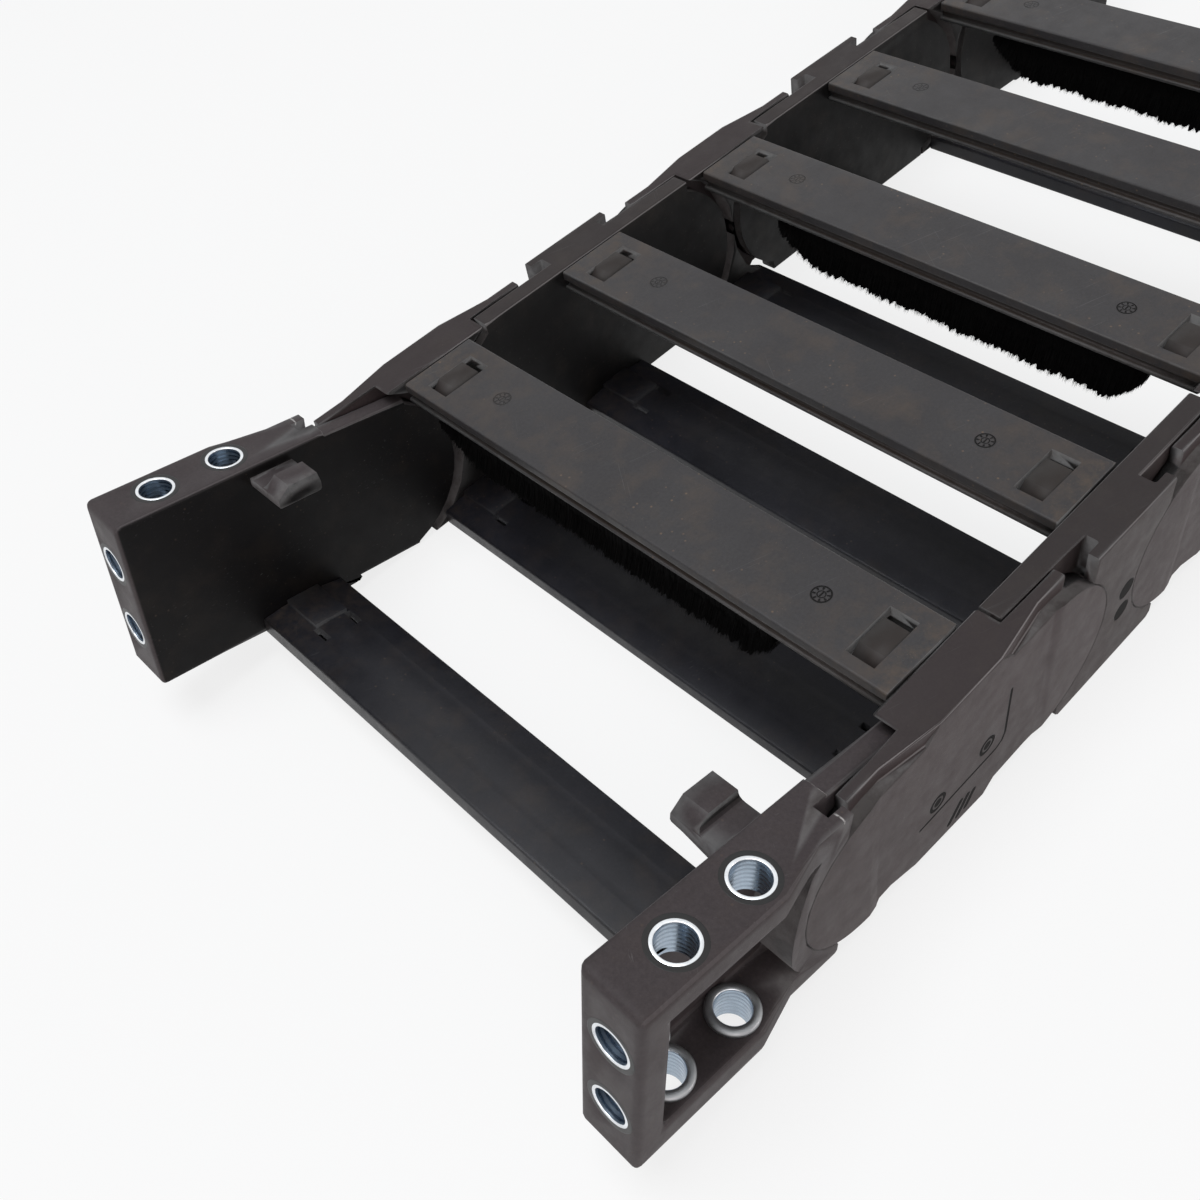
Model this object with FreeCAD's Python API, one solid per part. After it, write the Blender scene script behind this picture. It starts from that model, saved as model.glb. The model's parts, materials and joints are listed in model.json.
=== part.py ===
import FreeCAD, Part
import math
import os

# Cable drag chain: five links between two pairs of end brackets, lying straight on its bottom bars.
# X runs along the chain from the near brackets, Y across it and Z up; lengths in millimetres.

# Chain
inner_width = 125.0
pitch = 46.0
link_height = 42.0
link_count = 5
bend_radius = 100.0
near_lift = 12.4

# Side plates, measured outward from the cable channel: lug, running gap, web, cheek
lug_thickness = 4.4
running_gap = 0.3
web_thickness = 2.3
cheek_thickness = 2.4
cheek_inset = 3.0
cheek_clearance = 0.35
face_recess = 0.4
crease_width = 2.5
crease_setback = 0.3
flange_reach = 5.0
flange_depth = 4.0
deck_flat = 7.8
deck_flare = 12.7
ledge_setback = 3.7
waist_rise = 1.7
waist_step = 0.8
waist_length = 3.2
keel_rise = 1.6
keel_start = 12.0
keel_end = 7.5
heel_length = 3.3
lug_inset = 0.5
lug_flat = 8.7
block_setback = 11.2
hook_setback = 7.0
hook_chamfer = 1.5
curve_facets = 8
lug_facets = 12

# Hinge
pin_radius = 3.5
pin_clearance = 0.05
bore_skin = 0.8
stop_inner_radius = 10.5
stop_outer_radius = 14.0
stop_angle = 12.0
stop_height = 2.2

# Crossbars and the tongues that hold them
bar_width = 18.2
bar_end_gap = 0.5
bar_depth = 5.2
bar_slab = 2.2
bar_groove_depth = 1.2
bar_groove_height = 1.6
bar_lip = 0.8
seat_clearance = 0.15
tongue_depth = 2.6
tongue_start = -6.0
tongue_end = 3.6
tongue_reach = 10.3
nub_length = 5.1
nub_slope = 2.6
nub_end_slope = 0.6
window_start = -6.3
window_end = 5.5
window_reach = 10.9
window_length = 5.9
lower_bar_width = 20.0
lower_bar_slab = 2.0
lower_bar_crown = 0.9
crown_facets = 4
lower_tongue_width = 12.0
lower_tongue_reach = 8.0
lower_tongue_depth = 2.4
tab_width = 7.8
tab_reach = 11.0
tab_height = 0.9
slot_width = 1.5
slot_length = 4.5

# Fibre strips under the bars of the outer links
strip_length = 92.0
strip_thickness = 4.0
strip_drop = 6.5
strip_offset = 4.0

# End brackets
bracket_length = 57.3
bracket_inset = 0.5
bracket_width = 12.2
bracket_flange = 6.0
bracket_front = 5.8
bracket_wall = 1.8
bracket_shoulder = 28.5
bracket_waist = 19.0
bracket_rim = 4.2
lug_step = 0.8
bushing_first = 11.9
bushing_spacing = 15.0
bushing_inset = 6.5
bushing_front_spacing = 16.8
bushing_bore_radius = 3.1
bushing_radius = 3.8
collar_radius = 4.6
collar_thickness = 1.2
bushing_sides = 8
cut_margin = 1.0

# Sizes that follow
half_pitch = pitch / 2
half_height = link_height / 2
wall = inner_width / 2
pivot_height = half_height
web_start = lug_thickness + running_gap
cheek_start = web_start + web_thickness
plate_thickness = cheek_start + cheek_thickness
face_level = plate_thickness - face_recess
cheek_radius = half_height - cheek_inset
lug_radius = half_height - lug_inset
bracket_height = link_height - 2 * bracket_inset
max_bend = 2 * math.degrees(math.asin(pitch / (2 * bend_radius)))
block_clear_radius = cheek_radius + cheek_clearance
sweep_radius = math.hypot(lug_flat, half_height) + running_gap
bore_radius = pin_radius + pin_clearance
stop_travel_clearance = math.degrees(running_gap / stop_inner_radius)
far_pivot = pitch * link_count
nodes = {}


def polar(radius, degrees, centre=(0.0, 0.0)):
    angle = math.radians(degrees)
    return centre[0] + radius * math.cos(angle), centre[1] + radius * math.sin(angle)


def point(xz, y=0.0):
    return FreeCAD.Vector(xz[0], y, xz[1])


def arc(centre, radius, start, end):
    """The middle and the end of an arc, as outline() takes them."""
    return polar(radius, (start + end) / 2, centre), polar(radius, end, centre)


def inscribed(centre, radius, start, end, count):
    """Corners on a circle, for a many-sided curve that never reaches past it."""
    step = (end - start) / count
    return [polar(radius, start + index * step, centre) for index in range(count + 1)]


def circumscribed(centre, radius, start, end, count):
    """Corners outside a circle, for a many-sided curve whose flats just touch it."""
    half_step = math.radians((end - start) / count / 2)
    return inscribed(centre, radius / math.cos(half_step), start, end, count)


def outline(start, steps):
    """A face in the XZ plane. Each step is the next corner, or the middle and end of an arc."""
    edges = []
    last = start
    for step in steps + [start]:
        if isinstance(step[0], tuple):
            edges.append(Part.Arc(point(last), point(step[0]), point(step[1])).toShape())
            last = step[1]
        elif math.dist(last, step) > 1e-6:
            edges.append(Part.LineSegment(point(last), point(step)).toShape())
            last = step
    return Part.Face(Part.Wire(edges))


def slab(face, low, high):
    """The solid of an XZ outline between two depths along Y."""
    moved = face.copy()
    moved.translate(FreeCAD.Vector(0, low, 0))
    return moved.extrude(FreeCAD.Vector(0, high - low, 0))


def block(x, y, z):
    """A rectangular solid from three (low, high) pairs."""
    return Part.makeBox(x[1] - x[0], y[1] - y[0], z[1] - z[0], FreeCAD.Vector(x[0], y[0], z[0]))


def plan(corners, low, high):
    """The solid of an outline seen from above, between two heights."""
    ring = [FreeCAD.Vector(x, y, low) for x, y in corners + corners[:1]]
    return Part.Face(Part.makePolygon(ring)).extrude(FreeCAD.Vector(0, 0, high - low))


def disc(centre, radius, low, high):
    """A round solid about a hinge line, between two depths along Y."""
    return Part.makeCylinder(radius, high - low, point(centre, low), FreeCAD.Vector(0, 1, 0))


def mirrored_x(shape):
    return shape.mirror(FreeCAD.Vector(0, 0, 0), FreeCAD.Vector(1, 0, 0))


def mirrored_y(shape):
    return shape.mirror(FreeCAD.Vector(0, 0, 0), FreeCAD.Vector(0, 1, 0))


def joined(pieces):
    return pieces[0].fuse(pieces[1:]).removeSplitter()


def both_ends(shape):
    """A shape and its mirror image at the other hinge of the same link."""
    return [shape, mirrored_x(shape)]


def lug_end(height):
    """Steps round a lug at the hinge x = half_pitch, from its top corner to its bottom corner."""
    hinge = (half_pitch, 0.0)
    angle = math.degrees(math.acos(lug_flat / lug_radius))
    return [
        (half_pitch + lug_flat, height),
        *inscribed(hinge, lug_radius, angle, -angle, lug_facets),
        (half_pitch + lug_flat, -height),
    ]


def block_end(height):
    """Steps down the end of a mid block beside the hinge x = half_pitch, ending at its hook."""
    upper = 180 - math.degrees(math.acos(block_setback / block_clear_radius))
    lower = 180 + math.degrees(math.acos(hook_setback / block_clear_radius))
    tip = half_pitch - hook_setback
    return [
        (half_pitch - block_setback, height),
        *circumscribed((half_pitch, 0.0), block_clear_radius, upper, lower, curve_facets),
        (tip, -height + hook_chamfer),
        (tip - hook_chamfer, -height),
    ]


def reflected(steps):
    """The same steps walked backwards on the other side of x = 0."""
    flipped = []
    for index in range(len(steps) - 1, 0, -1):
        step = steps[index]
        before = steps[index - 1]
        before = before[1] if isinstance(before[0], tuple) else before
        end = (-before[0], before[1])
        if isinstance(step[0], tuple):
            flipped.append(((-step[0][0], step[0][1]), end))
        else:
            flipped.append(end)
    return flipped


def last_point(steps):
    step = steps[-1]
    return step[1] if isinstance(step[0], tuple) else step


def two_ended(steps):
    """A closed face from the steps of one end and their mirror image."""
    turn = last_point(steps)
    return outline((-steps[0][0], steps[0][1]), steps + [(-turn[0], turn[1])] + reflected(steps))


def stop_slot():
    """The slot in a lug that the neighbour's stop travels in, from straight to full bend."""
    hinge = (half_pitch, 0.0)
    half = (stop_angle + max_bend) / 2 + stop_travel_clearance
    outer = circumscribed(hinge, stop_outer_radius + running_gap, -90 - half, -90 + half, 2)
    inner = inscribed(hinge, stop_inner_radius - running_gap, -90 + half, -90 - half, 2)
    return slab(outline(outer[0], outer[1:] + inner), lug_thickness - stop_height, lug_thickness)


def stop_dog():
    """The stop on the neighbour's web. Bending lifts its own link and turns it towards the slot's end."""
    hinge = (half_pitch, 0.0)
    end = -90 + max_bend / 2 + stop_angle / 2
    inner = circumscribed(hinge, stop_inner_radius, end - stop_angle, end, 1)
    outer = inscribed(hinge, stop_outer_radius, end, end - stop_angle, 1)
    return slab(outline(inner[0], inner[1:] + outer), lug_thickness - stop_height + running_gap, web_start)


def hinge_bore():
    return disc((half_pitch, 0.0), bore_radius, bore_skin, lug_thickness)


def hinge_pin():
    return disc((half_pitch, 0.0), pin_radius, bore_skin + running_gap, web_start)


def upper_tongue(height):
    """The tongue under a top bar, with the chamfered nub that snaps into the bar's window."""
    top = height - bar_slab - seat_clearance
    tongue = block((tongue_start, tongue_end), (-tongue_reach, 0), (top - tongue_depth, top))
    nub = outline(
        (tongue_start, top),
        [
            (tongue_start + nub_slope, height),
            (tongue_end - nub_end_slope, height),
            (tongue_end, top),
        ],
    )
    return [tongue, slab(nub, -tongue_reach, -tongue_reach + nub_length)]


def lower_tongue(height):
    half = lower_tongue_width / 2
    return block((-half, half), (-lower_tongue_reach, 0), (-height, -height + lower_tongue_depth))


def placed(shape, side, x, angle=0.0):
    """A plate's shape moved to the left (1) or right (-1) wall, its link centre to x, and turned."""
    result = shape.copy()
    result.translate(FreeCAD.Vector(x, wall, pivot_height))
    if side < 0:
        result = mirrored_y(result)
    if angle:
        result.rotate(FreeCAD.Vector(0, 0, pivot_height), FreeCAD.Vector(0, 1, 0), angle)
    return result


def inner_link_plate():
    """Plate of links 2 and 4: recessed lugs at both ends of a thick block."""
    lugs = slab(two_ended(lug_end(half_height)), 0, lug_thickness)
    middle = slab(two_ended(block_end(half_height)), lug_thickness, plate_thickness)
    plate = joined([lugs, middle] + upper_tongue(half_height) + [lower_tongue(half_height)])
    for cut in both_ends(hinge_bore()) + both_ends(stop_slot()) + both_ends(flange_relief()):
        plate = plate.cut(cut)
    return plate


def flange_relief():
    """Room in a mid block for the corner of the neighbour's top flange as it swings up."""
    straight_up = math.radians(90 - max_bend)
    corner = straight_up - math.atan2(flange_reach, half_height)
    entry = straight_up - math.asin(flange_reach / block_clear_radius)
    x = half_pitch - math.hypot(flange_reach, half_height) * math.cos(corner) - 2 * running_gap
    z = block_clear_radius * math.sin(entry) - running_gap
    return block((x, half_pitch), (lug_thickness, cheek_start + running_gap), (z, half_height))


def cheek_outline():
    """Outer face of an outer link: a round cheek at each hinge and the mid part between them."""
    near = (-half_pitch, 0.0)
    far = (half_pitch, 0.0)
    ledge_end = deck_flat + ledge_setback
    waist_start = -half_pitch + waist_step
    upper = [
        arc(near, cheek_radius, 270, 90),
        (-ledge_end, cheek_radius),
        (-deck_flat, half_height),
        (deck_flat, half_height),
        (ledge_end, cheek_radius),
        (half_pitch, cheek_radius),
        arc(far, cheek_radius, 90, -90),
    ]
    lower = [
        (keel_end + heel_length, -cheek_radius),
        (keel_end, -half_height),
        (-keel_start, -half_height + keel_rise),
        (waist_start + waist_length, -cheek_radius + waist_rise),
        (waist_start, -cheek_radius + waist_rise),
    ]
    return outline((-half_pitch, -cheek_radius), upper + lower)


def face_cut():
    """What lies outside the mid face of an outer link: it is recessed between the cheeks, with sloped ends."""
    outside = plate_thickness + cut_margin
    inner = half_pitch - crease_setback
    outer = inner + crease_width + crease_width * cut_margin / face_recess
    corners = [(-outer, outside), (-inner, face_level), (inner, face_level), (outer, outside)]
    return plan(corners, -half_height - cut_margin, half_height + cut_margin)


def deck():
    """The top flange of an outer link seen from above: narrow beside the hinges, flared to the mid face."""
    end = half_pitch + flange_reach
    flare = deck_flat + deck_flare
    corners = [
        (-end, web_start),
        (-end, cheek_start),
        (-flare, cheek_start),
        (-deck_flat, face_level),
        (deck_flat, face_level),
        (flare, cheek_start),
        (end, cheek_start),
        (end, web_start),
    ]
    return plan(corners, half_height - flange_depth, half_height)


def lug_recess_outline():
    """Inner wall of an outer link, hollowed at both ends round the neighbours' lugs."""
    half = math.degrees(math.asin(half_height / sweep_radius))
    steps = circumscribed((half_pitch, 0.0), sweep_radius, 180 - half, 180 + half, curve_facets)
    steps[0] = (steps[0][0], half_height)
    steps[-1] = (steps[-1][0], -half_height)
    return two_ended(steps)


def outer_link_plate():
    """Plate of links 1, 3 and 5: cheeks that cover the neighbours' lugs, with pins and stops inside."""
    cheeks = slab(cheek_outline(), web_start, plate_thickness).cut(face_cut())
    middle = slab(lug_recess_outline(), 0, web_start)
    pieces = [cheeks, deck(), middle] + both_ends(hinge_pin()) + both_ends(stop_dog())
    return joined(pieces + upper_tongue(half_height) + [lower_tongue(half_height)])


def top_bar():
    """Top crossbar about the link centre: a channel with a groove along each side and a window at each end."""
    half = bar_width / 2
    groove_top = half_height - bar_slab
    groove_low = groove_top - bar_groove_height
    low = half_height - bar_depth
    steps = [
        (half, half_height),
        (half, groove_top),
        (half - bar_groove_depth, groove_top),
        (half - bar_groove_depth, groove_low),
        (half, groove_low),
        (half, groove_low - bar_lip),
        (half - bar_groove_depth, low),
    ]
    reach = wall - bar_end_gap
    bar = slab(two_ended(steps), -reach, reach)
    for side in (-1, 1):
        pocket_y = sorted((side * (wall - window_reach), side * wall))
        window_y = sorted((side * (wall - window_reach), side * (wall - window_reach + window_length)))
        pocket_z = (low - cut_margin, half_height - bar_slab)
        bar = bar.cut(block((window_start, window_end), pocket_y, pocket_z))
        bar = bar.cut(block((window_start, window_end), window_y, (low, half_height + cut_margin)))
    return bar


def bottom_bar(height):
    """Bottom crossbar about the link centre: a crowned slab with a raised locking tab at each end."""
    half = lower_bar_width / 2
    low = -height
    pocket_top = low + lower_tongue_depth + seat_clearance
    edge = pocket_top + lower_bar_slab - lower_bar_crown
    reach = wall - seat_clearance
    crown_radius = (half ** 2 + lower_bar_crown ** 2) / (2 * lower_bar_crown)
    crown_half = math.degrees(math.asin(half / crown_radius))
    centre = (0.0, edge + lower_bar_crown - crown_radius)
    crown = inscribed(centre, crown_radius, 90 + crown_half, 90 - crown_half, crown_facets)
    profile = outline((-half, low), crown + [(half, low)])
    bar = slab(profile, -reach, reach)
    pocket_half = lower_tongue_width / 2 + seat_clearance
    top = edge + lower_bar_crown
    for side in (-1, 1):
        pocket_y = sorted((side * (wall - lower_tongue_reach - seat_clearance), side * wall))
        bar = bar.cut(block((-pocket_half, pocket_half), pocket_y, (low - cut_margin, pocket_top)))
        tab_y = sorted((side * (wall - tab_reach), side * reach))
        tab = block((-tab_width / 2, tab_width / 2), tab_y, (pocket_top + lower_bar_slab / 2, top + tab_height))
        bar = bar.fuse(tab).removeSplitter()
        slot_y = sorted((side * (wall - tab_reach - slot_length), side * (wall - tab_reach)))
        for edge_side in (-1, 1):
            middle = edge_side * tab_width / 2
            slot_x = (middle - slot_width / 2, middle + slot_width / 2)
            bar = bar.cut(block(slot_x, slot_y, (low - cut_margin, top + cut_margin)))
    return bar


def fibre_strip():
    """Soft strip that hangs from the underside of a top bar."""
    top = half_height - bar_depth
    middle = -bar_width / 2 + strip_offset
    x = (middle - strip_thickness / 2, middle + strip_thickness / 2)
    return block(x, (-strip_length / 2, strip_length / 2), (top - strip_drop, top))


def bushing_axes():
    """Start, direction and wall thickness of each bushing of a bracket, from outside inward."""
    half = bracket_height / 2
    front = half_pitch - bracket_length
    axes = []
    for index in range(2):
        x = front + bushing_first + index * bushing_spacing
        axes.append(((x, bushing_inset, half), (0, 0, -1), bracket_flange))
        axes.append(((x, bushing_inset, -half), (0, 0, 1), bracket_flange))
    for z in (-bushing_front_spacing / 2, bushing_front_spacing / 2):
        axes.append(((front, bushing_inset, z), (1, 0, 0), bracket_front))
    return axes


def prism(start, direction, radius, length):
    """A many-sided solid along an axis, as wide at its flats as a round of this radius."""
    across = FreeCAD.Vector(0, 1, 0)
    other = FreeCAD.Vector(*direction).cross(across)
    corner = radius / math.cos(math.pi / bushing_sides)
    ring = []
    for index in range(bushing_sides + 1):
        angle = 2 * math.pi * (index + 0.5) / bushing_sides
        ring.append(start + across * (corner * math.cos(angle)) + other * (corner * math.sin(angle)))
    return Part.Face(Part.makePolygon(ring)).extrude(FreeCAD.Vector(*direction) * length)


def bushing(start, direction, thickness):
    """A flanged metal bushing, flush outside, its collar on the inner face of the bracket's wall."""
    origin = FreeCAD.Vector(*start)
    along = FreeCAD.Vector(*direction)
    sleeve = prism(origin, direction, bushing_radius, thickness + collar_thickness)
    collar = prism(origin + along * thickness, direction, collar_radius, collar_thickness)
    bore = Part.makeCylinder(bushing_bore_radius, thickness + collar_thickness, origin, along)
    return sleeve.fuse(collar).removeSplitter().cut(bore)


def bracket_plan(low, high):
    """The bracket's outline seen from above, as a solid: wide in front, narrow beside the link."""
    front = half_pitch - bracket_length
    rear = half_pitch + lug_radius + cut_margin
    corners = [
        (front, 0.0),
        (front, bracket_width),
        (front + bracket_shoulder, bracket_width),
        (half_pitch - bracket_waist, plate_thickness),
        (rear, plate_thickness),
        (rear, 0.0),
    ]
    return plan(corners, low, high)


def bracket():
    """End bracket about the centre of the link place that it fills, its hinge at x = half_pitch."""
    half = bracket_height / 2
    front = half_pitch - bracket_length
    hinge = (half_pitch, 0.0)
    body_face = outline((front, -half), [(front, half)] + block_end(half))
    body = slab(body_face, 0, bracket_width).common(bracket_plan(-half, half))
    lug_half = half - lug_step
    lug = slab(outline((0.0, lug_half), lug_end(lug_half) + [(0.0, -lug_half)]), 0, lug_thickness)
    rim = block_clear_radius + bracket_rim
    pocket_half = half - bracket_flange
    pocket_angle = math.degrees(math.asin(pocket_half / rim))
    pocket_front = front + bracket_front
    pocket = outline(
        (pocket_front, -pocket_half),
        [
            (pocket_front, pocket_half),
            polar(rim, 180 - pocket_angle, hinge),
            arc(hinge, rim, 180 - pocket_angle, 180 + pocket_angle),
        ],
    )
    shape = joined([body, lug] + upper_tongue(half) + [lower_tongue(half)])
    shape = shape.cut(slab(pocket, bracket_wall, bracket_width))
    shape = shape.cut(hinge_bore())
    shape = shape.cut(stop_slot())
    shape = shape.cut(flange_relief())
    for start, direction, thickness in bushing_axes():
        shape = shape.cut(prism(FreeCAD.Vector(*start), direction, bushing_radius, thickness))
    return shape


def bracket_bushings():
    return [bushing(start, direction, thickness) for start, direction, thickness in bushing_axes()]


def add_end(name, x, lift, mirror):
    """A pair of end brackets with their bushings and bottom bar."""
    plate = bracket()
    rings = bracket_bushings()
    bar = bottom_bar(bracket_height / 2)
    if mirror:
        plate = mirrored_x(plate)
        rings = [mirrored_x(ring) for ring in rings]
        bar = mirrored_x(bar)
    nodes[f"{name}_left_bracket"] = placed(plate, 1, x, lift)
    nodes[f"{name}_right_bracket"] = placed(plate, -1, x, lift)
    nodes[f"{name}_bushings"] = Part.makeCompound([placed(ring, side, x, lift) for side in (1, -1) for ring in rings])
    across = bar.copy()
    across.translate(FreeCAD.Vector(x, 0, pivot_height))
    if lift:
        across.rotate(FreeCAD.Vector(0, 0, pivot_height), FreeCAD.Vector(0, 1, 0), lift)
    nodes[f"{name}_bottom_bar"] = across


def add_link(number):
    """A link of two side plates, a top bar and a bottom bar."""
    x = (number - 0.5) * pitch
    is_outer = number % 2 == 1
    plate = outer_link_plate() if is_outer else inner_link_plate()
    name = f"link_{number}"
    nodes[f"{name}_left_plate"] = placed(plate, 1, x)
    nodes[f"{name}_right_plate"] = placed(plate, -1, x)
    nodes[f"{name}_top_bar"] = top_bar()
    nodes[f"{name}_bottom_bar"] = bottom_bar(half_height)
    centred = ["top_bar", "bottom_bar"]
    if is_outer:
        nodes[f"{name}_fibre_strip"] = fibre_strip()
        centred.append("fibre_strip")
    for part in centred:
        nodes[f"{name}_{part}"].translate(FreeCAD.Vector(x, 0, pivot_height))


add_end("near", -half_pitch, near_lift, False)
for number in range(1, link_count + 1):
    add_link(number)
add_end("far", far_pivot + half_pitch, 0.0, True)

# The origin is on the floor under the middle of the whole chain
whole = Part.makeCompound(list(nodes.values())).BoundBox
origin_shift = -(whole.XMin + whole.XMax) / 2
os.makedirs("parts", exist_ok=True)
for name, shape in nodes.items():
    shape.translate(FreeCAD.Vector(origin_shift, 0, 0))
    shape.exportStep(f"parts/{name}.step")
print(f"{len(nodes)} nodes, origin shift {origin_shift:.4f} mm, bend limit {max_bend:.2f} degrees")
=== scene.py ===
"""Cable drag chain: finishes, turned bushings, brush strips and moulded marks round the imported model.

Lengths are in millimetres, unless MM turns them into the metres of the frame. A pair of levels for between()
holds the value where a look is absent and the value where it is whole.
"""
import json
import math
import random

import bpy
from mathutils import Matrix, Vector


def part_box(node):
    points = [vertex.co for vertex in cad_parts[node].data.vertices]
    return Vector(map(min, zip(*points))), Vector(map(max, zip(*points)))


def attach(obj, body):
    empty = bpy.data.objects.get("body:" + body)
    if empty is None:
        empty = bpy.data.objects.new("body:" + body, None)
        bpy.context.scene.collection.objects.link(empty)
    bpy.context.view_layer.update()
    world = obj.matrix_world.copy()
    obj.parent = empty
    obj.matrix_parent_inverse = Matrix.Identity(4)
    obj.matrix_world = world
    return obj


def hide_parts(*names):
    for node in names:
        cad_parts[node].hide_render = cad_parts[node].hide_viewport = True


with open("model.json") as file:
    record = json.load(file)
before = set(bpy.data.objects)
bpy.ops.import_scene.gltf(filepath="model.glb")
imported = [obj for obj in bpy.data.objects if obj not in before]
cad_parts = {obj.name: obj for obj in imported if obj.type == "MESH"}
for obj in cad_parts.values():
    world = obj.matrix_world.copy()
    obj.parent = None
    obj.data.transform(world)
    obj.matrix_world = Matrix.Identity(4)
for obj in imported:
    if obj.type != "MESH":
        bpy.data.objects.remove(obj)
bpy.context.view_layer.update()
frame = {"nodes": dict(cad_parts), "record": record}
nodes = frame["nodes"]
mounts = {mount["name"]: mount for mount in frame["record"]["mounts"]}
MM = 0.001
Y_AXIS = Vector((0, 1, 0))

# Bushings
RING_BORE = 3.1
RING_OUTER = 3.8
COLLAR_OUTER = 4.65
COLLAR_DEPTH = 1.2
COLLAR_ROUND = 0.35
FLANGE_WALL = 6.0
FRONT_WALL = 5.8
RING_CHAMFER = 0.16
RING_PROUD = 0.005
RING_ROUND = 0.12
RING_SEGMENTS = 72
GROOVE_OUTER = 4.6
GROOVE_DEPTH = 0.2
GROOVE_OVERLAP = 0.08
# First and last side of the collar in the bushing's section
COLLAR_SIDES = (5, 9)

# Rounded edges: radius and shortest edge that gets it. Angles are in radians
BRACKET_EDGES = (1.2, 9.0)
PLATE_EDGES = (0.5, 7.0)
BAR_EDGES = (0.35, 20.0)
EDGE_SEGMENTS = 3
SHARP_ANGLE = 0.6
FLAT_ANGLE = math.radians(0.5)
WELD_DISTANCE = 0.002
# Width of the pale edges, which are partly wear and partly a painted highlight
EDGE_WEAR_AND_HIGHLIGHT_WIDTH = 0.5

# Brush strips
FIBRES_PER_STRIP = 9000
FIBRE_RADIUS = 0.13
FIBRE_CORE_STEPS = 300
BRUSH_HANG = 9.0
BRUSH_LEAN = 2.6
BRUSH_SHIFT = {"link_1": 7.0, "link_3": -6.0}
BRUSH_SLOPE = 0.6
BRUSH_ENDS = (0.08, 0.12)
WAVES = ((0.25, 31, 0.0), (0.2, 83, 1.3))
TEETH_DEPTH = 0.75
TEETH_RATE = 131
TEETH_WANDER = 17
TEETH_RAISE = 0.3

# Slots of the bottom bars
SLOT_START = 47.0
SLOT_LENGTH = 4.5
SLOT_WIDTH = 1.5
SLOT_OFFSET = 3.9
SLOT_FLOOR = 1.0
SLOT_FLOOR_THICKNESS = 0.4
SLOT_OVERLAP = 0.1
BRACKET_RISE = 0.5

# Marks on the side plates: place along the chain from the link's centre, and height
OUTER_LINE = [(12.4, 28.6), (12.4, 15.8), (11.7, 14.0), (10.0, 13.2), (-11.3, 13.2)]
OUTER_DIALS = [(-6.8, 16.6), (6.9, 18.0)]
OUTER_SLOTS = [((-2.4, 3.6), (0.6, 7.6)), ((0.0, 3.4), (2.6, 7.2)), ((2.4, 3.6), (4.4, 6.6))]
INNER_DIMPLES = [(2.0, 21.5), (2.0, 15.3)]
DIMPLE_RADIUS = 2.25

# Levels that keep a look on its own faces: from the middle of the chain, then in height, on a bracket
# from its hinge
OUTER_LINK_FACE = (70.6, 70.9)
INNER_LINK_FACE = (71.4, 71.7)
CHANNEL_WALL = (62.8, 62.6)
DECK = (62.2, 62.5)
TONGUE = (61.8, 61.5)
DUSTY_ENDS = (40.0, 61.0)
BAR_TOP = (41.5, 41.8)
BRACKET_TOP = (19.7, 20.1)

# Scuff lines on the brackets, from the hinge
SCUFF_PLACES = (10.6, 12.8)

# Colours: dust on the plates, dust and painted shade on their snap tongues, painted shade in the marks, the
# channel's shade, a painted highlight on the deck edges, and scuffs
PLATE_DUST = (0.058, 0.048, 0.040)
TONGUE_DUST_AND_SHADE = (0.022, 0.018, 0.016)
MARK_SHADE_COLOUR = (0.002, 0.0019, 0.0018)
CHANNEL_SHADE = (0.0025, 0.0025, 0.0027)
DECK_EDGE_HIGHLIGHT_COLOUR = (0.2, 0.19, 0.19)
SCUFF_COLOUR = (0.42, 0.41, 0.40)

# Date dials on the top bars
DIAL_PLACE = 41.3
DIAL_RADIUS = 1.75
DIAL_NUMBERS = 8

# Photograph's view, in the frame: the image is square, and the clip distances are in metres
CAMERA_PLACE = Vector((-193.67, -130.3, 207.7)) * MM
CAMERA_FORWARD = Vector((0.363, 0.540, -0.760))
CAMERA_RIGHT = Vector((0.708, -0.690, -0.152))
CAMERA_LENS = 37.84
CAMERA_SENSOR = 36.0
CAMERA_CLIP = (0.01, 20)

# Surroundings, in metres and watts. Lamps: place, aim, size, power and colour
FLOOR_SIZE = 4.0
FLOOR_GLOW = 0.8
SKY_LIGHT = 0.27
LAMPS = {
    "key": ((-0.25, 0.1, 1.35), (0, 0, 0), 0.9, 12.5, (0.94, 0.97, 1.0)),
    "fill": ((-0.7, -0.9, 0.6), (0, 0, 0), 1.0, 3.2, (1.0, 0.89, 0.87)),
    "side": ((0.6, -1.2, 0.2), (0, 0, 0.02), 0.5, 3.0, (1.0, 0.88, 0.86)),
}


# Shader helpers

def new_material(name):
    material = bpy.data.materials.new(name)
    material.use_nodes = True
    material.node_tree.nodes.clear()
    return material, material.node_tree


def add(tree, kind, settings=None, **inputs):
    """A node with its settings, and its inputs set to values or linked to sockets.

    An input goes by its name, with _ for a space, or by i and its number.
    """
    made = tree.nodes.new(kind)
    for key, value in (settings or {}).items():
        setattr(made, key, value)
    for key, value in inputs.items():
        numbered = key[0] == "i" and key[1:].isdigit()
        socket = made.inputs[int(key[1:]) if numbered else key.replace("_", " ")]
        if isinstance(value, bpy.types.NodeSocket):
            tree.links.new(value, socket)
        else:
            socket.default_value = value
    return made


def millimetres(tree, scale=(1, 1, 1), turn=(0, 0, 0), shift=(0, 0, 0)):
    """Object coordinates in millimetres, turned, stretched and shifted."""
    place = add(tree, "ShaderNodeTexCoord").outputs["Object"]
    whole = tuple(1000 * s for s in scale)
    turned = add(tree, "ShaderNodeMapping", Vector=place, Rotation=turn).outputs[0]
    return add(tree, "ShaderNodeMapping", Vector=turned, Scale=whole, Location=shift).outputs[0]


def noise(tree, coords, scale, detail=4.0, rough=0.55):
    return add(
        tree, "ShaderNodeTexNoise", Vector=coords, Scale=scale, Detail=detail, Roughness=rough
    ).outputs["Fac"]


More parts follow.
